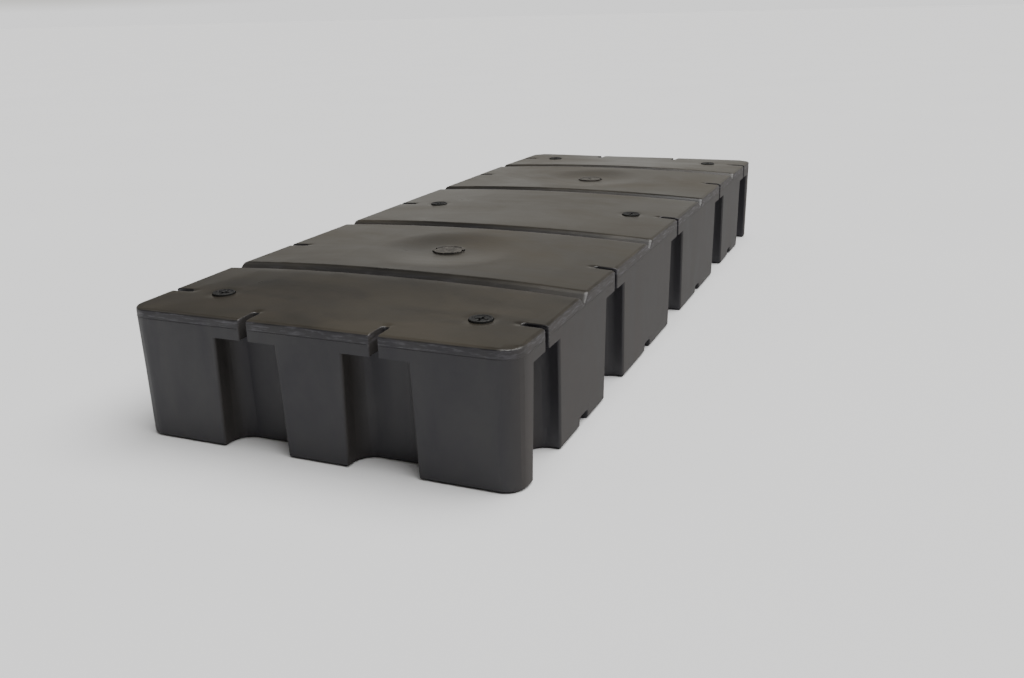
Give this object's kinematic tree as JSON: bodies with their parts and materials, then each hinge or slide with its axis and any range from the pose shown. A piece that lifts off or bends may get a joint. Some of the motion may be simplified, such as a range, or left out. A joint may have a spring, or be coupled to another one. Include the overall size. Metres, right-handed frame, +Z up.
{
  "type": "dock float drum",
  "caption": "Long low moulded float with a crowned, grooved deck, bolt slots over nut recesses round its sides and ends, and plugged filler ports.",
  "frame": {"origin": "middle of the underside, on the plane that the drum rests on", "axes": "+X across the drum, +Y along it, +Z up through the deck"},
  "size_m": [0.9156, 2.4396, 0.313],
  "materials": {
    "shell": "rotationally moulded black polyethylene, satin, with a faint haze",
    "plug": "injection moulded black polyethylene",
    "cap": "black polyethylene disc, spun flush into its port"
  },
  "bodies": {
    "root": {"float_drum": "shell", "filler_plug_1": "plug", "filler_plug_2": "plug", "filler_plug_3": "plug", "filler_plug_4": "plug", "filler_plug_5": "plug", "filler_plug_6": "plug", "port_cap_1": "cap", "port_cap_2": "cap"}
  },
  "joints": []
}
